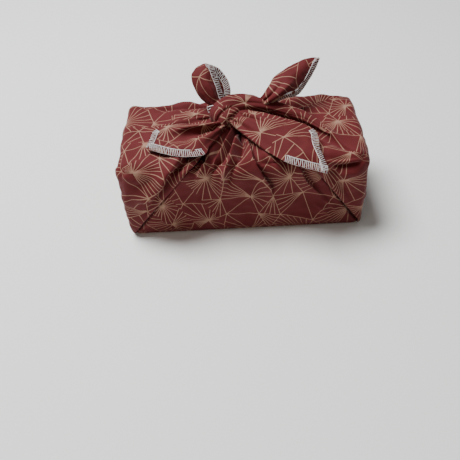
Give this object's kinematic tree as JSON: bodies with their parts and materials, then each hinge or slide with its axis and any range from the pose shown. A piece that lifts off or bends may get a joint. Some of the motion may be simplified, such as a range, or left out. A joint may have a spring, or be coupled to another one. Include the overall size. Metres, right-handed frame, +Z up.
{
  "type": "furoshiki wrap",
  "caption": "Rectangular parcel wrapped in one printed furoshiki cloth, its four corners knotted on top.",
  "frame": {"origin": "middle of the flat base", "axes": "+X along the parcel, -Y to its front, +Z up"},
  "size_m": [0.2056, 0.1054, 0.1227],
  "materials": {
    "printed_cotton": "matt"
  },
  "bodies": {
    "root": {"wrap_cloth": "printed_cotton"}
  },
  "joints": []
}
